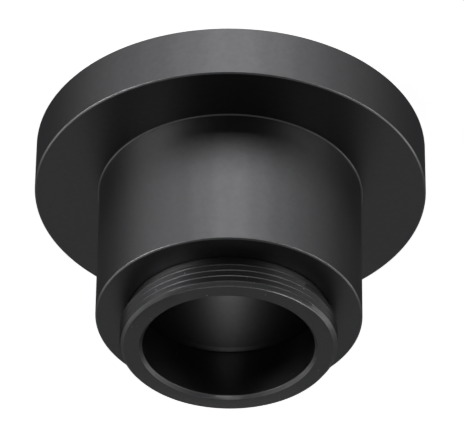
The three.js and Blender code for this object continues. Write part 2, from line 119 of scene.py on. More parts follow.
def object_from(bm, name):
    bmesh.ops.remove_doubles(bm, verts=bm.verts, dist=1e-5)
    bmesh.ops.recalc_face_normals(bm, faces=bm.faces)
    mesh = bpy.data.meshes.new(name)
    bm.to_mesh(mesh)
    bm.free()
    obj = bpy.data.objects.new(name, mesh)
    bpy.context.scene.collection.objects.link(obj)
    return obj


def ring_of_points(bm, radius, z, segments):
    if radius < 1e-6:
        return [bm.verts.new((0, 0, z))] * segments
    turn = 2 * math.pi / segments
    return [
        bm.verts.new((radius * math.cos(turn * i), radius * math.sin(turn * i), z))
        for i in range(segments)
    ]


def bridge(bm, ring, following):
    """Faces between two rings. A ring on the axis is one point many times, and gives triangles."""
    count = len(ring)
    for k in range(count):
        n = (k + 1) % count
        corners = []
        for v in (ring[k], ring[n], following[n], following[k]):
            if v not in corners:
                corners.append(v)
        if len(corners) > 2:
            bm.faces.new(corners)


def turned(name, outline, segments=INNER_SEGMENTS, fillet=0.05):
    """A solid turned about Z from a closed outline of (radius, z) or (radius, z, fillet)."""
    bm = bmesh.new()
    rings = [ring_of_points(bm, p.x, p.y, segments) for p in rounded(outline, fillet)]
    for ring, following in zip(rings, rings[1:] + rings[:1]):
        bridge(bm, ring, following)
    return object_from(bm, name)


def block(name, size, centre, bevel=0.1, steps=3):
    """A box with rounded edges."""
    bm = bmesh.new()
    place = Matrix.Translation(centre) @ Matrix.Diagonal((*size, 1))
    bmesh.ops.create_cube(bm, size=1, matrix=place)
    if bevel > 0:
        bmesh.ops.bevel(bm, geom=bm.edges, offset=bevel, segments=steps, profile=0.5, affect="EDGES")
    return object_from(bm, name)


def tube(name, points, radius, sides=16):
    """A round tube through the points, with flat ends."""
    bm = bmesh.new()
    last = len(points) - 1
    normal = None
    rings = []
    for i, point in enumerate(points):
        along = (points[min(i + 1, last)] - points[max(i - 1, 0)]).normalized()
        if normal is None:
            normal = along.orthogonal()
        normal = (normal - along * normal.dot(along)).normalized()
        side = along.cross(normal)
        ring = []
        for k in range(sides):
            angle = 2 * math.pi * k / sides
            ring.append(bm.verts.new(point + radius * (math.cos(angle) * normal + math.sin(angle) * side)))
        rings.append(ring)
    for ring, following in zip(rings, rings[1:]):
        bridge(bm, ring, following)
    bm.faces.new(rings[0][::-1])
    bm.faces.new(rings[-1])
    return object_from(bm, name)


def smooth_route(points, steps_between=8):
    """A Catmull-Rom curve through the points."""
    route = []
    for i in range(len(points) - 1):
        p0 = points[max(i - 1, 0)]
        p1, p2 = points[i], points[i + 1]
        p3 = points[min(i + 2, len(points) - 1)]
        for step in range(steps_between):
            t = step / steps_between
            route.append(
                0.5 * ((2 * p1) + (p2 - p0) * t + (2 * p0 - 5 * p1 + 4 * p2 - p3) * t**2
                       + (3 * p1 - p0 - 3 * p2 + p3) * t**3)
            )
    route.append(points[-1].copy())
    return route


def with_boolean(obj, others, operation):
    """Joins or cuts obj with the other objects, which are then removed."""
    for other in others:
        modifier = obj.modifiers.new(operation, "BOOLEAN")
        modifier.operation = operation
        modifier.solver = "EXACT"
        modifier.object = other
        bpy.context.view_layer.update()
        graph = bpy.context.evaluated_depsgraph_get()
        made = bpy.data.meshes.new_from_object(obj.evaluated_get(graph))
        obj.modifiers.clear()
        old, obj.data = obj.data, made
        bpy.data.meshes.remove(old)
        mesh = other.data
        bpy.data.objects.remove(other)
        bpy.data.meshes.remove(mesh)
    return obj


def cut(obj, *cutters):
    return with_boolean(obj, cutters, "DIFFERENCE")


def joined(obj, *others):
    return with_boolean(obj, others, "UNION")


def common(obj, *others):
    return with_boolean(obj, others, "INTERSECT")


def moved(obj, offset):
    obj.data.transform(Matrix.Translation(offset))
    return obj


def rotated(obj, angle, axis):
    obj.data.transform(Matrix.Rotation(angle, 4, axis))
    return obj


def hex_socket(bottom, top):
    """A cutter for a hexagon socket on the axis, with a small lead-in, opening downwards."""
    corner = HEX_KEY / math.sqrt(3)
    outline = [
        (0, bottom - 1),
        (corner + 1.1, bottom - 1),
        (corner, bottom + 0.1),
        (corner, top),
        (0, top + 0.25),
    ]
    return turned("socket", outline, segments=6, fillet=0)


def round_hole(radius, bottom, top, at, lead_in=0.15):
    """A cutter for a round hole whose mouth, at the bottom, has a small chamfer."""
    outline = [
        (0, bottom - 1),
        (radius + lead_in + 1, bottom - 1),
        (radius, bottom + lead_in),
        (radius, top),
        (0, top),
    ]
    return moved(turned("hole", outline, SMALL_SEGMENTS, fillet=0), at)


def paint_edge_highlights(obj, above=-math.inf):
    """Paints chamfers and rounded corners above a height a paler grey: a painted highlight along the edges.
    """
    obj.data.materials.append(MATERIALS["edge_highlight"])
    last = len(obj.data.materials) - 1
    upright, level = 0.25, 0.97
    for face in obj.data.polygons:
        if upright < abs(face.normal.z) < level and face.center.z > above * MM:
            face.material_index = last


def publish(obj, node, material):
    """Turns the finished mesh into metres and makes it stand for its CAD node."""
    obj.name = obj.data.name = "fine_" + node
    obj.data.transform(Matrix.Scale(MM, 4))
    for polygon in obj.data.polygons:
        polygon.use_smooth = True
    obj.data.set_sharp_from_angle(angle=SHARP_ANGLE)
    obj.data.materials.clear()
    obj.data.materials.append(material)
    weighted = obj.modifiers.new("even_shading", "WEIGHTED_NORMAL")
    weighted.keep_sharp = True
    weighted.weight = 100
    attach(obj, BODY_OF[node])
    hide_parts(node)
    return obj


# ---- Materials ----

class Finish:
    """A Principled material and short ways to add procedural detail to it."""

    def __init__(self, name, base, roughness, metallic=0.0, **sockets):
        self.material = bpy.data.materials.new(name)
        self.material.use_nodes = True
        self.tree = self.material.node_tree
        self.shader = self.tree.nodes["Principled BSDF"]
        self.shader.inputs["Base Color"].default_value = (*base, 1)
        self.shader.inputs["Roughness"].default_value = roughness
        self.shader.inputs["Metallic"].default_value = metallic
        for socket, value in sockets.items():
            self.shader.inputs[socket.replace("_", " ")].default_value = value
        self.base = base
        self.roughness = roughness
        self.place = self.node("ShaderNodeTexCoord")
        self.height = None

    def node(self, kind, **settings):
        made = self.tree.nodes.new(kind)
        for key, value in settings.items():
            setattr(made, key, value)
        return made

    def link(self, output, socket):
        self.tree.links.new(output, socket)

    def math(self, operation, first, second=None):
        made = self.node("ShaderNodeMath", operation=operation)
        for socket, value in zip(made.inputs, (first, second)):
            if isinstance(value, (int, float)):
                socket.default_value = value
            elif value is not None:
                self.link(value, socket)
        return made.outputs[0]

    def noise(self, scale, detail, dimensions="3D", at=None):
        made = self.node("ShaderNodeTexNoise", noise_dimensions=dimensions)
        made.inputs["Scale"].default_value = scale
        made.inputs["Detail"].default_value = detail
        socket = made.inputs["W"] if dimensions == "1D" else made.inputs["Vector"]
        self.link(at or self.place.outputs["Object"], socket)
        return made.outputs[0]

    def mapped(self, value, *limits):
        """value from the first two limits mapped to the last two, and held at the ends."""
        made = self.node("ShaderNodeMapRange")
        for socket, number in zip(list(made.inputs)[1:5], limits):
            socket.default_value = number
        self.link(value, made.inputs[0])
        return made.outputs[0]

    def scaled(self, value, low, high):
        """value from 0.3 to 0.7, where noise mostly lies, mapped to low..high."""
        return self.mapped(value, 0.3, 0.7, low, high)

    def blend_base(self, factor, first, second):
        """Base colour that goes from the first colour to the second with the factor."""
        mix = self.node("ShaderNodeMix", data_type="RGBA")
        mix.inputs["A"].default_value = (*first, 1)
        mix.inputs["B"].default_value = (*second, 1)
        self.link(factor, mix.inputs["Factor"])
        self.link(mix.outputs["Result"], self.shader.inputs["Base Color"])

    def tool_path(self):
        """Distance along the way a lathe tool went: z on a wall, radius on a flat face."""
        level = 0.75
        where = self.node("ShaderNodeSeparateXYZ")
        self.link(self.place.outputs["Object"], where.inputs[0])
        facing = self.node("ShaderNodeSeparateXYZ")
        self.link(self.place.outputs["Normal"], facing.inputs[0])
        x, y, z = where.outputs
        radius = self.math("SQRT", self.math("ADD", self.math("MULTIPLY", x, x), self.math("MULTIPLY", y, y)))
        flat = self.math("GREATER_THAN", self.math("ABSOLUTE", facing.outputs[2]), level)
        on_face = self.math("MULTIPLY", radius, flat)
        return self.math("ADD", on_face, self.math("MULTIPLY", z, self.math("SUBTRACT", 1.0, flat)))

    def add_height(self, value, amount):
        part = self.math("MULTIPLY", value, amount)
        self.height = part if self.height is None else self.math("ADD", self.height, part)

    def mottled(self, amount, scale):
        """Base colour that wanders a little either side of its mean."""
        darker = [c * (1 - amount) for c in self.base]
        paler = [min(1, c * (1 + amount)) for c in self.base]
        self.blend_base(self.scaled(self.noise(scale, 4), 0, 1), darker, paler)

    def uneven_gloss(self, spread, scale):
        rough = self.scaled(self.noise(scale, 4), self.roughness - spread, self.roughness + spread)
        self.link(rough, self.shader.inputs["Roughness"])

    def dusted(self, scale, radius, share):
        """A few pale specks of dust: one in a share of the cells, each of a radius within its cell."""
        cells = self.node("ShaderNodeTexVoronoi")
        cells.inputs["Scale"].default_value = scale
        self.link(self.place.outputs["Object"], cells.inputs["Vector"])
        speck = self.math("LESS_THAN", cells.outputs["Distance"], radius)
        picked = self.node("ShaderNodeSeparateColor")
        self.link(cells.outputs["Color"], picked.inputs[0])
        chosen = self.math("MULTIPLY", speck, self.math("LESS_THAN", picked.outputs[0], share))
        mix = self.node("ShaderNodeMix", data_type="RGBA")
        base = self.shader.inputs["Base Color"]
        self.link(base.links[0].from_socket, mix.inputs["A"])
        mix.inputs["B"].default_value = (0.5, 0.5, 0.49, 1)
        self.link(chosen, mix.inputs["Factor"])
        self.link(mix.outputs["Result"], base)

    def darker_towards(self, pale_z, dark_z, share):
        """Base colour that falls evenly along Z to a share of itself."""
        where = self.node("ShaderNodeSeparateXYZ")
        self.link(self.place.outputs["Object"], where.inputs[0])
        painted_shade = self.mapped(where.outputs[2], pale_z, dark_z, 1.0, share)
        product = self.node("ShaderNodeMix", data_type="RGBA", blend_type="MULTIPLY")
        product.inputs["Factor"].default_value = 1.0
        base = self.shader.inputs["Base Color"]
        self.link(base.links[0].from_socket, product.inputs["A"])
        self.link(painted_shade, product.inputs["B"])
        self.link(product.outputs["Result"], base)

    def stretched_across_lines(self, amount):
        """Highlights run along Z on a turned wall and along the radius on a turned face."""
        around = self.node("ShaderNodeTangent", direction_type="RADIAL", axis="Z")
        self.link(around.outputs[0], self.shader.inputs["Tangent"])
        self.shader.inputs["Anisotropic"].default_value = amount
        self.shader.inputs["Anisotropic Rotation"].default_value = 0.25

    def clear_from_behind(self):
        """Nothing to see on the back of the faces, so a floor doesn't hide what stands on it."""
        facing = self.node("ShaderNodeNewGeometry")
        clear = self.node("ShaderNodeBsdfTransparent")
        either = self.node("ShaderNodeMixShader")
        self.link(facing.outputs["Backfacing"], either.inputs[0])
        self.link(self.shader.outputs[0], either.inputs[1])
        self.link(clear.outputs[0], either.inputs[2])
        self.link(either.outputs[0], self.tree.nodes["Material Output"].inputs["Surface"])

    def finished(self, bump_depth, strength):
        bump = self.node("ShaderNodeBump")
        bump.inputs["Strength"].default_value = strength
        bump.inputs["Distance"].default_value = bump_depth
        self.link(self.height, bump.inputs["Height"])
        self.link(bump.outputs[0], self.shader.inputs["Normal"])
        return self.material


BLACK_ANODISED = (0.115, 0.115, 0.119)
# The chamber wall's paler grey is painted light: the black anodising made pale to show a glow inside the
# bore.
CHAMBER_PAINTED_GLOW_GREY = (0.34, 0.34, 0.345)
# Paler grey for chamfers and rounded edges: a painted highlight along the edges.
EDGE_HIGHLIGHT_GREY = (0.36, 0.36, 0.365)

# Dust: cells per metre, a speck's radius as a share of its cell, and the share of cells that have one.
FLANGE_DUST = (260, 0.022, 0.8)
NOSE_DUST = (900, 0.06, 0.6)

# The chamber's colour darkens from one height to another, in metres, to this share of itself: painted shade
# near the mouth, painted light deeper down.
CHAMBER_PAINTED_SHADE = (0.0138, 0.0216, 0.22)


def anodised(name, base=BLACK_ANODISED, roughness=0.38, lines=0.35, stretch=0.5, dust=None, painted_shade=None):
    """Black anodised, turned aluminium: fine tool lines, a satin skin and slight unevenness."""
    finish = Finish(name, base, roughness, 1.0)
    finish.stretched_across_lines(stretch)
    path = finish.tool_path()
    finish.add_height(finish.noise(9000, 2, at=path, dimensions="1D"), lines)
    finish.add_height(finish.noise(2600, 1, at=path, dimensions="1D"), lines * 0.5)
    finish.add_height(finish.noise(30000, 2), 0.25)
    finish.mottled(0.045, 1500)
    finish.uneven_gloss(0.012, 900)
    if dust:
        finish.dusted(*dust)
    # Painted shade: base colour darker along Z, standing for less light on that part of the wall.
    if painted_shade:
        finish.darker_towards(*painted_shade)
    return finish.finished(bump_depth=4e-6, strength=0.55)


def metal(name, base, roughness, lines=0.5):
    """Bare turned or drawn metal."""
    finish = Finish(name, base, roughness, 1.0)
    path = finish.tool_path()
    finish.add_height(finish.noise(14000, 2, at=path, dimensions="1D"), lines)
    finish.add_height(finish.noise(40000, 2), 0.2)
    finish.mottled(0.08, 500)
    finish.uneven_gloss(0.08, 900)
    return finish.finished(bump_depth=3e-6, strength=0.6)


def moulded(name, base, roughness, grain=30000):
    """Moulded plastic or rubber with a fine eroded grain."""
    finish = Finish(name, base, roughness)
    finish.add_height(finish.noise(grain, 3), 1.0)
    finish.mottled(0.12, 700)
    finish.uneven_gloss(0.06, 1500)
    return finish.finished(bump_depth=6e-6, strength=0.5)


def board_laminate(name):
    """Green solder mask, paler where a copper trace runs under it, with the weave just showing."""
    mask, over_trace = (0.012, 0.10, 0.045), (0.035, 0.24, 0.10)
    finish = Finish(name, (0.016, 0.12, 0.055), 0.32, Coat_Weight=0.4)
    cells = finish.node("ShaderNodeTexVoronoi", distance="CHEBYCHEV", feature="DISTANCE_TO_EDGE")
    cells.inputs["Scale"].default_value = 520
    cells.inputs["Randomness"].default_value = 0.65
    finish.link(finish.place.outputs["Object"], cells.inputs["Vector"])
    trace = finish.math("LESS_THAN", cells.outputs[0], 0.09)
    finish.blend_base(trace, mask, over_trace)
    finish.add_height(trace, 1.0)
    finish.add_height(finish.noise(6000, 2), 0.3)
    return finish.finished(bump_depth=2e-5, strength=0.5)


def lens_glass(name):
    finish = Finish(name, (0.93, 0.96, 0.98), 0.03, Transmission_Weight=1.0, IOR=1.52)
    finish.add_height(finish.noise(900, 1), 1.0)
    finish.uneven_gloss(0.015, 800)
    return finish.finished(bump_depth=2e-7, strength=0.3)


MATERIALS = {
    "flange": anodised("black_anodised_flange", dust=FLANGE_DUST),
    "housing": anodised("black_anodised"),
    "bore": anodised("black_anodised_bore", dust=NOSE_DUST),
    # Chamber: a painted glow, a paler copy of the black anodising, with painted shade towards the mouth.
    "chamber": anodised(
        "chamber_painted_glow", CHAMBER_PAINTED_GLOW_GREY, roughness=0.60, lines=0.6, stretch=0.8, painted_shade=CHAMBER_PAINTED_SHADE
    ),
    "fittings": anodised("black_anodised_fittings", roughness=0.40, lines=0.5),
    # Painted edge highlight: a paler copy of the black anodising on chamfers.
    "edge_highlight": anodised("painted_edge_highlight", EDGE_HIGHLIGHT_GREY, roughness=0.36, lines=0.2, stretch=0.0),
    "steel": metal("steel", (0.56, 0.57, 0.59), 0.28),
    "dark_steel": metal("blackened_steel", (0.10, 0.10, 0.105), 0.34),
    "brass": metal("brass", (0.70, 0.50, 0.20), 0.24),
    "bronze": metal("spring_bronze", (0.62, 0.36, 0.18), 0.26, lines=0.2),
    "black_plastic": moulded("black_plastic", (0.018, 0.018, 0.02), 0.5),
    "white_plastic": moulded("white_plastic", (0.72, 0.71, 0.67), 0.45),
    "rubber": moulded("rubber", (0.014, 0.014, 0.014), 0.7, grain=22000),
    "positive_lead": moulded("red_insulation", (0.48, 0.02, 0.015), 0.4),
    "negative_lead": moulded("black_insulation", (0.012, 0.012, 0.012), 0.4),
    "board": board_laminate("circuit_laminate"),
    "glass": lens_glass("lens_glass"),
}


# ---- Housing ----

FLANGE_R = radius_of("flange_body")
FLANGE_TOP = high("flange_body").z
BARREL_R = radius_of("barrel_tube")
HUB_BOTTOM = low("barrel_tube").z
SHOULDER = high("barrel_tube").z
THREAD_R = radius_of("nose_ring")
NOSE_END = high("nose_ring").z
NOSE_SEAT = low("nose_ring").z
COVER_R = radius_of("rear_cover")
COVER_T = 2.4
EDGE_CHAMFER = 0.16
REAR_EDGE = 0.06
COVER_SCREWS = [f"cover_screw_{i}" for i in range(1, 5)]
SUPPORTS = ["adjusting_screw_1", "adjusting_screw_2", "reference_screw"]
SWITCH = centre_of("switch_body")
SWITCH_SLOT = (4.2, 1.9)


def make_flange():
    recess_r = COVER_R + 0.15
    seat = COVER_T + 0.05
    hub_r, cavity_r, cavity_top = 17.3, 20.2, 5.0
    joint_r, bead = BARREL_R + 0.02, 0.14
    boss_r, screw_hole_r = 1.6, 1.0
    pocket_length, pocket_width, pocket_bottom = 7.4, 3.5, 1.9
    outline = [
        (recess_r, 0, 0.04),
        (FLANGE_R - REAR_EDGE, 0),
        (FLANGE_R, REAR_EDGE),
        (FLANGE_R, FLANGE_TOP - EDGE_CHAMFER),
        (FLANGE_R - EDGE_CHAMFER, FLANGE_TOP),
        (joint_r + bead, FLANGE_TOP, 0.1),
        (joint_r, FLANGE_TOP + bead, 0.01),
        (joint_r, HUB_BOTTOM),
        (hub_r, HUB_BOTTOM),
        (hub_r, cavity_top, 0.2),
        (cavity_r, cavity_top, 0.2),
        (cavity_r, seat),
        (recess_r, seat),
    ]
    flange = turned("flange", outline, HOUSING_SEGMENTS)
    for node in COVER_SCREWS:
        at = centre_of(node)
        boss = [(0, seat), (boss_r, seat), (boss_r, cavity_top + 0.4), (0, cavity_top + 0.4)]
        flange = joined(flange, moved(turned("boss", boss, SMALL_SEGMENTS), at))
        flange = cut(flange, round_hole(screw_hole_r, seat, cavity_top - 0.1, at))
    pocket_size = (pocket_length, pocket_width, cavity_top - pocket_bottom)
    pocket = block("pocket", pocket_size, (0, SWITCH.y, (cavity_top + pocket_bottom) / 2), bevel=0.3)
    paint_edge_highlights(publish(cut(flange, pocket), "flange_body", MATERIALS["flange"]))


def make_barrel():
    nose_bore = THREAD_R - 0.6
    seat = NOSE_SEAT - 0.1
    chamber_r = 11.2
    ledge_top, ledge_bottom = 12.8, 11.4
    ring_groove_r, ledge_bore_r, cell_space_r = 7.9, 7.0, 13.5
    groove_bottom = ledge_bottom + 0.5
    outline = [
        (BARREL_R, HUB_BOTTOM),
        (BARREL_R, SHOULDER - EDGE_CHAMFER),
        (BARREL_R - EDGE_CHAMFER, SHOULDER),
        (nose_bore, SHOULDER, 0.02),
        (nose_bore, seat),
        (chamber_r + 0.4, seat, 0.02),
        (chamber_r, seat - 0.8),
        (chamber_r, ledge_top, 0.3),
        (ring_groove_r, ledge_top),
        (ring_groove_r, groove_bottom),
        (ledge_bore_r, groove_bottom),
        (ledge_bore_r, ledge_bottom),
        (cell_space_r, ledge_bottom, 0.2),
        (cell_space_r, HUB_BOTTOM),
    ]
    barrel = publish(turned("barrel", outline, HOUSING_SEGMENTS), "barrel_tube", MATERIALS["housing"])
    # The chamber wall takes the pale material: painted light and painted shade inside the bore.
    barrel.data.materials.append(MATERIALS["chamber"])
    for face in barrel.data.polygons:
        at = face.center / MM
        face.material_index = int(at.xy.length < nose_bore and ledge_top < at.z < seat)
    paint_edge_highlights(barrel, above=seat)


# ---- Threads ----

def thread_section(crest, depth, pitch):
    """One pitch of a 60 degree thread: (rise, radius) pairs from the crest upwards."""
    root = crest - depth
    flank = depth * math.tan(math.radians(30))
    half_crest = pitch / 16
    ease = pitch / 40
    return [
        (-half_crest, crest - ease / 2),
        (-half_crest + ease, crest),
        (half_crest - ease, crest),
        (half_crest, crest - ease / 2),
        (half_crest + flank - ease, root + ease),
        (half_crest + flank + ease, root),
        (pitch - half_crest - flank - ease, root),
        (pitch - half_crest - flank + ease, root + ease),
    ]


def threaded_rod(crest, pitch, bottom, top, crest_z, segments=SMALL_SEGMENTS):
    """A right-hand threaded rod past both heights, with a crest at crest_z where the thread starts."""
    section = thread_section(crest, THREAD_DEPTH_SHARE * pitch, pitch)
    per_turn = len(section)
    start = crest_z - pitch * (math.ceil((crest_z - bottom) / pitch) + 1)
    rows = per_turn * (math.ceil((top - start) / pitch) + 2)
    bm = bmesh.new()
    columns = []
    for i in range(segments):
        share = i / segments
        angle = THREAD_START_ANGLE + 2 * math.pi * share
        column = []
        for j in range(rows):
            rise, radius = section[j % per_turn]
            z = start + pitch * (share + j // per_turn) + rise
            column.append(bm.verts.new((radius * math.cos(angle), radius * math.sin(angle), z)))
        columns.append(column)
    for i, column in enumerate(columns[:-1]):
        following = columns[i + 1]
        for j in range(rows - 1):
            bm.faces.new((column[j], following[j], following[j + 1], column[j + 1]))
    first, last = columns[0], columns[-1]
    for j in range(rows - per_turn - 1):
        k = j + per_turn
        bm.faces.new((last[j], first[k], first[k + 1], last[j + 1]))
    lower = [column[0] for column in columns] + first[per_turn:0:-1]
    upper = [column[-1] for column in columns] + last[-2:-per_turn - 2:-1]
    for loop, z in ((lower, start - pitch), (upper, start + pitch * (rows / per_turn + 2))):
        hub = bm.verts.new((0, 0, z))
        for a, b in zip(loop, loop[1:] + loop[:1]):
            bm.faces.new((a, b, hub))
    return object_from(bm, "rod")


def threaded(name, envelope, crest, pitch, bottom, top, segments=SMALL_SEGMENTS):
    """A turned body whose outside carries a real helical thread between two heights."""
    body = turned(name, envelope, segments, fillet=0)
    return common(body, threaded_rod(crest, pitch, bottom, top, top - pitch / 2, segments))


def make_nose():
    inch, threads_per_inch = 25.4, 32
    pitch = inch / threads_per_inch
    first_crest = NOSE_END - 0.38
    thread_end = NOSE_END - 3.0
    end_chamfer = 0.45
    neck_r = THREAD_R - 0.7
    clear_r = THREAD_R + 0.1
    mouth_r = 10.05
    mouth_chamfer = 0.37
    bore_end_r = 11.04
    envelope = turned(
        "nose",
        [
            (0, NOSE_SEAT),
            (neck_r - 0.15, NOSE_SEAT),
            (neck_r, NOSE_SEAT + 0.15),
            (neck_r, thread_end - clear_r + neck_r + 0.3, 0.15),
            (clear_r, thread_end + 0.3),
            (clear_r, NOSE_END - end_chamfer - clear_r + THREAD_R),
            (THREAD_R - end_chamfer, NOSE_END, 0.04),
            (0, NOSE_END),
        ],
        HOUSING_SEGMENTS,
        fillet=0,
    )
    rod = threaded_rod(THREAD_R, pitch, NOSE_SEAT, NOSE_END, first_crest, HOUSING_SEGMENTS)
    bore = [
        (0, NOSE_SEAT - 1),
        (bore_end_r + 0.12, NOSE_SEAT - 1),
        (bore_end_r, NOSE_SEAT),
        (mouth_r, NOSE_END - mouth_chamfer, 0.04),
        (mouth_r + mouth_chamfer, NOSE_END, 0.04),
        (mouth_r + mouth_chamfer, NOSE_END + 1),
        (0, NOSE_END + 1),
    ]
    nose = cut(common(envelope, rod), turned("bore", bore, HOUSING_SEGMENTS, fillet=0))
    paint_edge_highlights(publish(nose, "nose_ring", MATERIALS["bore"]), above=NOSE_END - end_chamfer)


# ---- Rear cover and its screws ----

def slot_cutter(length, width, bottom, top, y=0.0):
    """A milled slot along X with round ends."""
    half = (length - width) / 2
    cutter = block("slot", (2 * half, width, top - bottom), (0, y, (bottom + top) / 2), bevel=0)
    for side in (-1, 1):
        outline = [(0, bottom), (width / 2, bottom), (width / 2, top), (0, top)]
        end = turned("slot_end", outline, SMALL_SEGMENTS, fillet=0)
        cutter = joined(cutter, moved(end, (side * half, y, 0)))
    return cutter


def make_rear_cover():
    boss_r, boss_top = 10.1, high("rear_cover").z
    counterbore_r, counterbore_z = radius_of("battery_cap") + 0.15, 1.8
    cap_bore_r, key_hole_r = 8.8, 1.3
    sink_r, screw_hole_r, sink_depth = 2.15, 1.1, 1.05
    cover = turned(
        "cover",
        [
            (cap_bore_r, counterbore_z),
            (counterbore_r, counterbore_z, 0.08),
            (counterbore_r, 0.15),
            (counterbore_r + 0.15, 0),
            (COVER_R - 0.2, 0),
            (COVER_R, 0.2),
            (COVER_R, COVER_T),
            (boss_r, COVER_T, 0.15),
            (boss_r, boss_top, 0.1),
            (cap_bore_r, boss_top, 0.1),
        ],
        HOUSING_SEGMENTS,
    )
    cutters = [slot_cutter(*SWITCH_SLOT, -1, COVER_T + 1, SWITCH.y)]
    for node in SUPPORTS:
        cutters.append(round_hole(key_hole_r, 0, COVER_T + 1, centre_of(node)))
    countersink = [
        (0, -1),
        (sink_r + 1, -1),
        (screw_hole_r, sink_depth),
        (screw_hole_r, COVER_T + 1),
        (0, COVER_T + 1),
    ]
    for node in COVER_SCREWS:
        cutters.append(moved(turned("sink", countersink, SMALL_SEGMENTS, fillet=0), centre_of(node)))
    paint_edge_highlights(publish(cut(cover, *cutters), "rear_cover", MATERIALS["housing"]))


def make_cover_screw(node):
    head, tip = low(node).z, high(node).z
    head_r, shank_r, pitch = 1.75, 0.95, 0.4
    envelope = [
        (0, head),
        (head_r, head),
        (head_r, head + 0.1),
        (shank_r, head + 0.85),
        (shank_r, tip - 0.2),
        (shank_r - 0.2, tip),
        (0, tip),
    ]
    body = turned("screw", envelope, SMALL_SEGMENTS, fillet=0.04)
    rod = threaded_rod(shank_r + 0.01, pitch, head + 1.2, tip + 0.1, tip - 0.3)
    collar = [(0, head - 1), (3, head - 1), (3, head + 1.3), (0, head + 1.3)]
    collar = turned("collar", collar, segments=16, fillet=0)
    body = common(body, joined(rod, collar))
    body = cut(body, hex_socket(head, head + 0.6))
    publish(moved(body, centre_of(node)), node, MATERIALS["dark_steel"])


# ---- Battery, holder and cap ----

def make_battery_cap():
    node = "battery_cap"
    bottom, head_r, head_top = low(node).z, radius_of(node), 1.2
    neck_r, neck_top = 8.7, high(node).z
    cup_r, cup_floor = 7.6, 1.7
    coin_slot_length, coin_slot_width, coin_slot_depth = 14, 1.6, 0.7
    envelope = [
        (0, bottom),
        (head_r - 0.2, bottom, 0.05),
        (head_r, bottom + 0.2, 0.05),
        (head_r, head_top, 0.05),
        (neck_r - 0.3, head_top + 0.05),
        (neck_r - 0.3, head_top + 0.35),
        (neck_r, head_top + 0.6),
        (neck_r, neck_top - 0.3),
        (neck_r - 0.3, neck_top),
        (cup_r, neck_top, 0.05),
        (cup_r, cup_floor, 0.2),
        (0, cup_floor),
    ]
    cap = turned("cap", envelope, HOUSING_SEGMENTS, fillet=0)
    cap = cut(cap, slot_cutter(coin_slot_length, coin_slot_width, bottom - 1, bottom + coin_slot_depth))
    publish(cap, node, MATERIALS["fittings"])


def make_o_ring(node):
    section = (high(node).z - low(node).z) / 2
    outer = radius_of(node)
    centre_z = centre_height(node)
    circle = [
        (outer - section + section * math.cos(2 * math.pi * k / 24),
         centre_z + section * math.sin(2 * math.pi * k / 24))
        for k in range(24)
    ]
    return publish(turned("ring", circle, INNER_SEGMENTS, fillet=0), node, MATERIALS["rubber"])


def make_coil(node, radii, heights, turns, material):
    """A wire spring whose radius and height go evenly from their first values to their second."""
    wire_r = 0.18
    (bottom_r, top_r), (bottom, top) = radii, heights
    steps = int(turns * 48)
    points = []
    for i in range(steps + 1):
        share = i / steps
        radius = bottom_r + (top_r - bottom_r) * share
        angle = 2 * math.pi * turns * share
        height = bottom + (top - bottom) * share
        points.append(Vector((radius * math.cos(angle), radius * math.sin(angle), height)))
    publish(tube("coil", points, wire_r), node, material)


def make_coin_cell():
    node = "coin_cell"
    r, bottom, top = radius_of(node), low(node).z, high(node).z
    outline = [
        (0, bottom),
        (r - 0.3, bottom, 0.3),
        (r, bottom + 0.3, 0.2),
        (r, top - 0.42, 0.12),
        (r - 0.55, top - 0.38, 0.05),
        (r - 0.62, top - 0.5),
        (r - 0.78, top - 0.5),
        (r - 0.85, top - 0.3, 0.05),
        (r - 1.0, top, 0.2),
        (0, top),
    ]
    publish(turned("cell", outline), node, MATERIALS["steel"])


def make_battery_holder():
    node = "battery_holder"
    rim_r, bottom, top = radius_of(node), low(node).z, high(node).z
    rim_top = bottom + 1.3
    rim_inner_r, cup_outer_r, cup_inner_r, contact_hole_r = 10.25, 9.8, 8.2, 1.5
    cup_ceiling, step_z = top - 0.4, bottom + 0.7
    key_notch_r, lead_notch_r = 1.8, 0.8
    outline = [
        (rim_inner_r, bottom, 0.1),
        (rim_r, bottom, 0.1),
        (rim_r, rim_top, 0.2),
        (cup_outer_r, rim_top, 0.1),
        (cup_outer_r, top, 0.3),
        (contact_hole_r, top, 0.1),
        (contact_hole_r, cup_ceiling, 0.1),
        (cup_inner_r, cup_ceiling, 0.2),
        (cup_inner_r, step_z, 0.1),
        (rim_inner_r, step_z, 0.1),
    ]
    holder = turned("holder", outline)
    places = [(key_notch_r, centre_of(n)) for n in SUPPORTS]
    places += [(lead_notch_r, Vector((side * LEAD_X, 0, 0))) for side in (-1, 1)]
    for radius, at in places:
        notch = [(0, bottom - 1), (radius, bottom - 1), (radius, rim_top + 0.6), (0, rim_top + 0.6)]
        holder = cut(holder, moved(turned("notch", notch, SMALL_SEGMENTS, fillet=0), at))
    publish(holder, node, MATERIALS["white_plastic"])


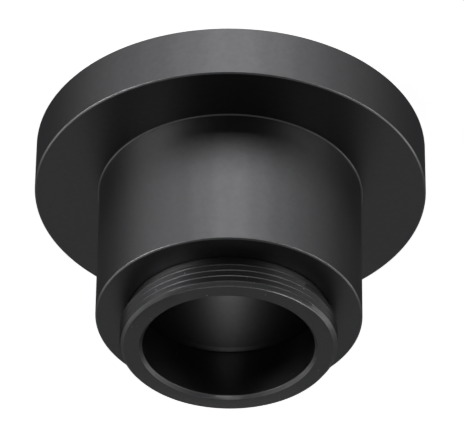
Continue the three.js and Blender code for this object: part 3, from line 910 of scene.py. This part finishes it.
def make_contact_leaf():
    """A sprung arch with a slit down its middle."""
    node = "negative_contact"
    half_length, half_width = high(node).x, high(node).y
    thickness, sag, steps = 0.2, 0.36, 48
    end_z = high(node).z - thickness
    section = [(-half_width, 0), (half_width, 0), (half_width, thickness), (-half_width, thickness)]
    bm = bmesh.new()
    rows = []
    for i in range(steps + 1):
        x = half_length * (2 * i / steps - 1)
        z = end_z - sag / 2 * (1 - (x / half_length) ** 2)
        rows.append([bm.verts.new((x, y, z + rise)) for y, rise in section])
    for a, b in zip(rows, rows[1:]):
        for k in range(4):
            bm.faces.new((a[k], b[k], b[(k + 1) % 4], a[(k + 1) % 4]))
    bm.faces.new(rows[0][::-1])
    bm.faces.new(rows[-1])
    bmesh.ops.recalc_face_normals(bm, faces=bm.faces)
    sharp = [e for e in bm.edges if e.calc_face_angle(0) > math.radians(60)]
    bmesh.ops.bevel(bm, geom=sharp, offset=0.04, segments=2, profile=0.5, affect="EDGES")
    leaf = object_from(bm, "leaf")
    slit = slot_cutter(half_length, 0.5, end_z - 1, end_z + 1)
    publish(cut(leaf, slit), node, MATERIALS["bronze"])


# ---- Circuit board, switch and leads ----

def make_circuit_board():
    node = "circuit_board"
    outer, bottom, top = radius_of(node), low(node).z, high(node).z
    inner, hole_r = 10.3, 1.9
    outline = [(inner, bottom), (outer, bottom), (outer, top), (inner, top)]
    board = turned("board", outline, fillet=0.04)
    for name in SUPPORTS + COVER_SCREWS:
        hole = [(0, bottom - 1), (hole_r, bottom - 1), (hole_r, top + 1), (0, top + 1)]
        board = cut(board, moved(turned("hole", hole, SMALL_SEGMENTS, fillet=0), centre_of(name)))
    board = cut(board, slot_cutter(*SWITCH_SLOT, bottom - 1, top + 1, SWITCH.y))
    publish(board, node, MATERIALS["board"])


def make_switch():
    shell_low, shell_high = low("switch_body"), high("switch_body")
    shell = block("shell", shell_high - shell_low, (shell_low + shell_high) / 2, bevel=0.25, steps=4)
    for side in (-1, 1):
        seam = block("seam", (0.12, 4, 0.12), (side * 2.6, SWITCH.y, shell_low.z), bevel=0)
        shell = cut(shell, seam)
    publish(shell, "switch_body", MATERIALS["steel"])
    knob_low, knob_high = low("switch_knob"), high("switch_knob")
    middle = (knob_low + knob_high) / 2
    knob = block("knob", knob_high - knob_low, middle, bevel=0.12)
    for offset in (-0.42, 0, 0.42):
        groove = block("groove", (0.16, 4, 0.5), (middle.x + offset, middle.y, knob_low.z), bevel=0.05)
        knob = cut(knob, groove)
    publish(knob, "switch_knob", MATERIALS["black_plastic"])


LEAD_ROUTE = [
    (LEAD_X, 3.7), (LEAD_X, 5.2), (11.4, 6.6), (10.5, 7.4), (8.5, 7.45), (5.0, 7.45), (3.0, 7.6),
    (2.2, 8.3), (2.2, 8.7),
]


def make_leads():
    for node, side in (("positive_lead", 1), ("negative_lead", -1)):
        route = smooth_route([Vector((side * x, 0, z)) for x, z in LEAD_ROUTE])
        publish(tube("lead", route, high(node).y), node, MATERIALS[node])


# ---- Three-point support ----

def set_screw_body(bottom, top):
    radius, pitch = 1.25, 0.45
    envelope = [
        (0, bottom),
        (radius - 0.25, bottom),
        (radius, bottom + 0.25),
        (radius, top - 0.2),
        (radius - 0.2, top),
        (0, top),
    ]
    screw = threaded("set_screw", envelope, radius, pitch, bottom, top)
    return cut(screw, hex_socket(bottom, bottom + 1.2))


def make_supports():
    for node in SUPPORTS[:2]:
        screw = set_screw_body(low(node).z, high(node).z)
        publish(moved(screw, centre_of(node)), node, MATERIALS["steel"])
    pad_r = 0.85
    for node in ("screw_pad_1", "screw_pad_2"):
        bottom, top = low(node).z, high(node).z
        dome = [
            (pad_r * math.cos(math.pi / 2 * k / 12), top - pad_r + pad_r * math.sin(math.pi / 2 * k / 12))
            for k in range(12)
        ]
        outline = [(0, bottom), (pad_r - 0.06, bottom), (pad_r, bottom + 0.06), *dome, (0, top)]
        pad = turned("pad", outline, SMALL_SEGMENTS, fillet=0)
        publish(moved(pad, centre_of(node)), node, MATERIALS["brass"])
    node = "reference_screw"
    shank_top = high(SUPPORTS[0]).z
    top = high(node).z
    tip = [
        (0, shank_top - 0.3),
        (pad_r, shank_top - 0.3),
        (pad_r, top - 0.65, 0.3),
        (0.4, top - 0.1, 0.3),
        (0, top),
    ]
    screw = set_screw_body(low(node).z, shank_top)
    screw = joined(screw, turned("tip", tip, SMALL_SEGMENTS, fillet=0))
    publish(moved(screw, centre_of(node)), node, MATERIALS["steel"])


# ---- Laser cell and module ----

def make_laser_cell():
    node = "laser_cell"
    flange_r, bottom, top = radius_of(node), low(node).z, high(node).z
    tube_r, module_bore, stop_r, stop_z = 6.4, 4.6, 5.75, 15.4
    outline = [
        (module_bore, bottom),
        (flange_r, bottom, 0.15),
        (flange_r, bottom + 1.6, 0.15),
        (tube_r, bottom + 1.6, 0.2),
        (tube_r, top - 0.3),
        (tube_r - 0.3, top),
        (stop_r, top),
        (stop_r, stop_z),
        (module_bore, stop_z),
    ]
    cell = turned("cell", outline)
    hole_r, hole_start, mouth = 0.8, 4, 6.2
    clamp_hole = [
        (0, hole_start),
        (hole_r, hole_start),
        (hole_r, mouth),
        (hole_r + 1, mouth + 1),
        (0, mouth + 1),
    ]
    clamp_hole = turned("hole", clamp_hole, SMALL_SEGMENTS, fillet=0)
    clamp_hole = rotated(clamp_hole, -math.pi / 2, "X")
    cell = cut(cell, moved(clamp_hole, (0, 0, centre_height("module_clamp_screw"))))
    publish(cell, node, MATERIALS["housing"])


def make_clamp_screw():
    node = "module_clamp_screw"
    radius, inner, outer = radius_of(node), low(node).y, high(node).y
    outline = [
        (0, inner),
        (radius - 0.1, inner),
        (radius, inner + 0.1),
        (radius, outer - 0.1),
        (radius - 0.1, outer),
        (0, outer),
    ]
    socket_r = 0.4
    socket = [(0, outer - 0.7), (socket_r, outer - 0.6), (socket_r, outer + 1), (0, outer + 1)]
    screw = turned("grub", outline, SMALL_SEGMENTS, fillet=0)
    screw = cut(screw, turned("socket", socket, segments=6, fillet=0))
    screw = rotated(screw, -math.pi / 2, "X")
    publish(moved(screw, (0, 0, centre_height(node))), node, MATERIALS["steel"])


def make_module_barrel():
    node = "module_barrel"
    r, bottom, top = radius_of(node), low(node).z, high(node).z
    board_bore_r, diode_bore_r, throat_r, lens_bore_r = 3.6, 2.9, 2.4, 3.4
    diode_bore_z, throat_z, lens_bore_z = 10.4, 11.6, 12.3
    outline = [
        (board_bore_r, bottom),
        (r, bottom),
        (r, top),
        (lens_bore_r, top, 0.1),
        (lens_bore_r, lens_bore_z),
        (throat_r, lens_bore_z),
        (throat_r, throat_z),
        (diode_bore_r, throat_z),
        (diode_bore_r, diode_bore_z),
        (board_bore_r, diode_bore_z),
    ]
    publish(turned("module", outline), node, MATERIALS["brass"])


def make_laser_diode():
    node = "laser_diode"
    r, legs_end, top = radius_of(node), low(node).z, high(node).z
    base = top - 2.7
    can_r, window_r = 1.75, 0.7
    leg_r, leg_circle_r = 0.22, 1.3
    outline = [
        (0, base),
        (r, base),
        (r, base + 1),
        (can_r, base + 1, 0.1),
        (can_r, top, 0.15),
        (window_r, top, 0.02),
        (window_r - 0.1, top - 0.08, 0.02),
        (0, top - 0.08),
    ]
    leg_outline = [(0, legs_end), (leg_r, legs_end, 0.05), (leg_r, base + 0.1), (0, base + 0.1)]
    diode = turned("diode", outline)
    for degrees in (90, 210, 330):
        angle = math.radians(degrees)
        at = (leg_circle_r * math.cos(angle), leg_circle_r * math.sin(angle), 0)
        diode = joined(diode, moved(turned("leg", leg_outline, segments=24), at))
    publish(diode, node, MATERIALS["steel"])


def make_lens():
    node = "lens_holder"
    bottom, top = low(node).z, high(node).z
    outer_r, seat_r, opening_r = 3.3, 2.65, 1.9
    lip = bottom + 0.4
    outline = [
        (opening_r, bottom),
        (outer_r, bottom),
        (outer_r, top),
        (seat_r, top),
        (seat_r, lip),
        (opening_r, lip),
    ]
    publish(turned("holder", outline), node, MATERIALS["brass"])

    node = "collimating_lens"
    r, bottom, top = radius_of(node), low(node).z, high(node).z
    edge, steps = bottom + 0.3, 24
    crown = []
    for k in range(steps + 1):
        share = 1 - k / steps
        crown.append((r * share, edge + (top - edge) * (1 - share**2)))
    lens = turned("lens", [(0, bottom), (r - 0.05, bottom), (r, bottom + 0.05), *crown], fillet=0)
    publish(lens, node, MATERIALS["glass"])


def make_module_board():
    node = "module_board"
    r, bottom, top = radius_of(node), low(node).z, high(node).z
    publish(turned("board", [(0, bottom), (r, bottom), (r, top), (0, top)]), node, MATERIALS["board"])
    chip_low, chip_high = low("driver_chip"), high("driver_chip")
    chip = block("chip", chip_high - chip_low, (chip_low + chip_high) / 2, bevel=0.08)
    dot_r, dot_inset, dot_depth = 0.12, 0.3, 0.04
    dot = turned("dot", [(0, 0), (dot_r, 0), (dot_r, 1), (0, 1)], segments=24, fillet=0)
    dot = moved(dot, (chip_low.x + dot_inset, chip_low.y + dot_inset, chip_high.z - dot_depth))
    publish(cut(chip, dot), "driver_chip", MATERIALS["black_plastic"])


def make_aperture_stop():
    node = "aperture_stop"
    r, bottom, top = radius_of(node), low(node).z, high(node).z
    hole_r = 0.75
    outline = [(hole_r, bottom), (r, bottom), (r, top, 0.08), (2.5, top, 0.08), (hole_r, bottom + 0.3)]
    publish(turned("stop", outline), node, MATERIALS["bore"])


make_flange()
make_barrel()
make_nose()
make_rear_cover()
for screw in COVER_SCREWS:
    make_cover_screw(screw)
make_battery_cap()
make_o_ring("battery_cap_o_ring")
make_coil("battery_spring", (6.2, 3.2), (2.0, 2.6), turns=2.5, material=MATERIALS["bronze"])
make_coin_cell()
make_battery_holder()
make_contact_leaf()
make_circuit_board()
make_switch()
make_leads()
make_supports()
make_laser_cell()
make_clamp_screw()
make_module_barrel()
make_laser_diode()
make_lens()
make_module_board()
make_aperture_stop()
make_coil("focus_spring", (2.9, 2.9), (12.6, 13.5), turns=3, material=MATERIALS["steel"])
make_o_ring("centring_o_ring")
squeezed = make_o_ring("return_o_ring")
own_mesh(squeezed)


# ---- Stage, light and camera ----

VIEW_ELEVATION = math.radians(37.116)
VIEW_DISTANCE = 0.5197
VIEW_TARGET = Vector((-0.000238, 0, 0.00989))
VIEW_ROLL = math.radians(180 - 0.635)
SENSOR_WIDTH = 36.0
FOCAL_LENGTH = 339.6
LIGHT_TARGET = Vector((0, 0, 0.015))
LIGHT_DISTANCE = 0.6
WORLD_STRENGTH = 0.05


def direction(azimuth, elevation):
    """Unit vector from the object: azimuth 0 is the camera's side, -Y, and 90 is +X."""
    a, e = math.radians(azimuth), math.radians(elevation)
    return Vector((math.sin(a) * math.cos(e), -math.cos(a) * math.cos(e), math.sin(e)))


def make_camera():
    data = bpy.data.cameras.new("camera")
    data.sensor_width = SENSOR_WIDTH
    data.lens = FOCAL_LENGTH
    data.clip_start, data.clip_end = 0.01, 20
    camera = bpy.data.objects.new("camera", data)
    back = Vector((0, -math.cos(VIEW_ELEVATION), math.sin(VIEW_ELEVATION)))
    level_up = Vector((0, math.sin(VIEW_ELEVATION), math.cos(VIEW_ELEVATION)))
    level_right = Vector((1, 0, 0))
    up = math.cos(VIEW_ROLL) * level_up + math.sin(VIEW_ROLL) * level_right
    right = up.cross(back)
    rotation = Matrix((right, up, back)).transposed().to_4x4()
    camera.matrix_world = Matrix.Translation(VIEW_TARGET + back * VIEW_DISTANCE) @ rotation
    bpy.context.scene.collection.objects.link(camera)
    bpy.context.scene.camera = camera


def hang_light(data, target, azimuth, elevation):
    """Hangs a light at LIGHT_DISTANCE from the target and points it there."""
    light = bpy.data.objects.new(data.name, data)
    out = direction(azimuth, elevation)
    light.location = target + out * LIGHT_DISTANCE
    light.rotation_mode = "QUATERNION"
    light.rotation_quaternion = out.to_track_quat("Z", "Y")
    bpy.context.scene.collection.objects.link(light)
    return light


def make_softbox(name, azimuth, elevation, width, height, power):
    data = bpy.data.lights.new(name, "AREA")
    data.shape = "RECTANGLE"
    data.size, data.size_y = width, height
    data.energy = power
    hang_light(data, LIGHT_TARGET, azimuth, elevation).visible_camera = False


def make_snoot(azimuth, elevation, target, reach, power):
    """A spotlight narrowed to a disc of the given reach round the target."""
    data = bpy.data.lights.new("snoot", "SPOT")
    data.spot_size = 2 * math.atan(reach / LIGHT_DISTANCE)
    data.spot_blend = 1.0
    data.shadow_soft_size = 0.002
    data.energy = power
    hang_light(data, target, azimuth, elevation)


def make_stage():
    """A pale floor that runs up into a pale backdrop. It doesn't colour or shade the object."""
    finish = Finish("pale_floor", (0.86, 0.86, 0.86), 0.9)
    finish.mottled(0.01, 30)
    finish.shader.inputs["Emission Color"].default_value = (1, 1, 1, 1)
    finish.shader.inputs["Emission Strength"].default_value = 0.9
    finish.add_height(finish.noise(900, 3), 1.0)
    material = finish.finished(bump_depth=1e-5, strength=0.2)
    finish.clear_from_behind()
    radius, cove, height, peak = 2500, 600, 3000, 3400
    floor_z, cove_steps, segments = -0.02, 12, 96
    outline = [(0, floor_z), (radius - cove, floor_z)]
    for step in range(1, cove_steps + 1):
        angle = math.pi / 2 * step / cove_steps
        outline.append((radius - cove + cove * math.sin(angle), cove * (1 - math.cos(angle))))
    outline += [(radius, height), (0, peak)]
    bm = bmesh.new()
    rings = [ring_of_points(bm, r, z, segments) for r, z in outline]
    for ring, following in zip(rings, rings[1:]):
        bridge(bm, ring, following)
    stage = object_from(bm, "stage")
    stage.data.transform(Matrix.Scale(MM, 4))
    stage.data.flip_normals()
    stage.data.materials.append(material)
    stage.visible_glossy = False
    stage.visible_diffuse = False
    stage.visible_shadow = False


def make_world():
    world = bpy.data.worlds.new("studio")
    world.use_nodes = True
    background = world.node_tree.nodes["Background"]
    background.inputs["Color"].default_value = (0.93, 0.95, 1.0, 1)
    background.inputs["Strength"].default_value = WORLD_STRENGTH
    bpy.context.scene.world = world


# A long softbox bent round the object: power of its panels by azimuth either side of the camera.
PANEL_STEP = math.radians(20)
PANEL_WIDTH = LIGHT_DISTANCE * PANEL_STEP
PANELS = {0: 0.52, 20: 0.39, 40: 0.23, 60: 0.105, 80: 0.042, 100: 0.017, 120: 0.006}
PANEL_ELEVATION = -34
PANEL_HEIGHT = 0.36

# Each further softbox: azimuth, elevation, width, height (metres, at LIGHT_DISTANCE), power.
LIGHTS = {
    "backdrop_glow": (180, 35, 1.0, 0.30, 0.20),
    "left_key": (62, 3, 0.42, 0.22, 2.40),
    "right_key": (-62, 3, 0.42, 0.22, 1.20),
    "left_side": (95, 5, 0.50, 0.30, 0.40),
    "right_side": (-95, 5, 0.50, 0.30, 0.50),
    "behind": (180, -10, 0.24, 0.50, 0.80),
    "below": (180, -85, 0.50, 0.50, 2.50),
}

make_camera()
make_stage()
make_world()
for azimuth, power in PANELS.items():
    for side in {-azimuth, azimuth}:
        make_softbox(f"panel_{side}", side, PANEL_ELEVATION, PANEL_WIDTH, PANEL_HEIGHT, power)
for name, settings in LIGHTS.items():
    make_softbox(name, *settings)
make_snoot(azimuth=0, elevation=50, target=Vector((0, -0.5, NOSE_END)) * MM, reach=0.0085, power=2.7)
bpy.context.scene.view_settings.view_transform = "Standard"
